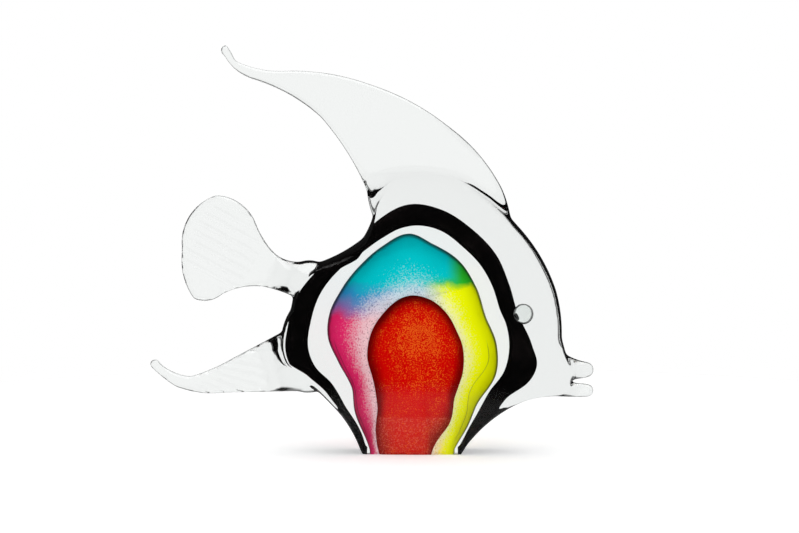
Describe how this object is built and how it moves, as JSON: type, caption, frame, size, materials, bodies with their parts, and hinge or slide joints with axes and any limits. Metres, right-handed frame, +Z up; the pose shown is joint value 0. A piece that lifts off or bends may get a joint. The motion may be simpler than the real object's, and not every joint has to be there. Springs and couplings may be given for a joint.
{
  "type": "fish figurine",
  "caption": "Tropical fish figurine of layered clear glass with a red heart, a coloured layer, a black band, drawn clear fins and bead eyes",
  "frame": {"origin": "centre of the ground flat under the fish, where it rests", "axes": "+X towards the nose, +Z up, Y through the thickness"},
  "size_m": [0.2395, 0.05, 0.2195],
  "materials": {
    "clear_glass": "polished clear glass",
    "red_glass": "opaque red glass with orange dust",
    "turquoise_glass": "turquoise glass, crushed grains on clear",
    "pink_glass": "deep pink glass, crushed grains on clear",
    "yellow_glass": "yellow glass, crushed grains on clear",
    "black_glass": "black glass"
  },
  "bodies": {
    "root": {"red_core": "red_glass", "inner_clear_casing": "clear_glass", "turquoise_cap": "turquoise_glass", "pink_flank": "pink_glass", "yellow_flank": "yellow_glass", "middle_clear_casing": "clear_glass", "black_band": "black_glass", "clear_body": "clear_glass", "dorsal_fin": "clear_glass", "tail_fin": "clear_glass", "ventral_fin": "clear_glass", "upper_lip": "clear_glass", "lower_lip": "clear_glass", "right_eye": "clear_glass", "left_eye": "clear_glass"}
  },
  "joints": []
}
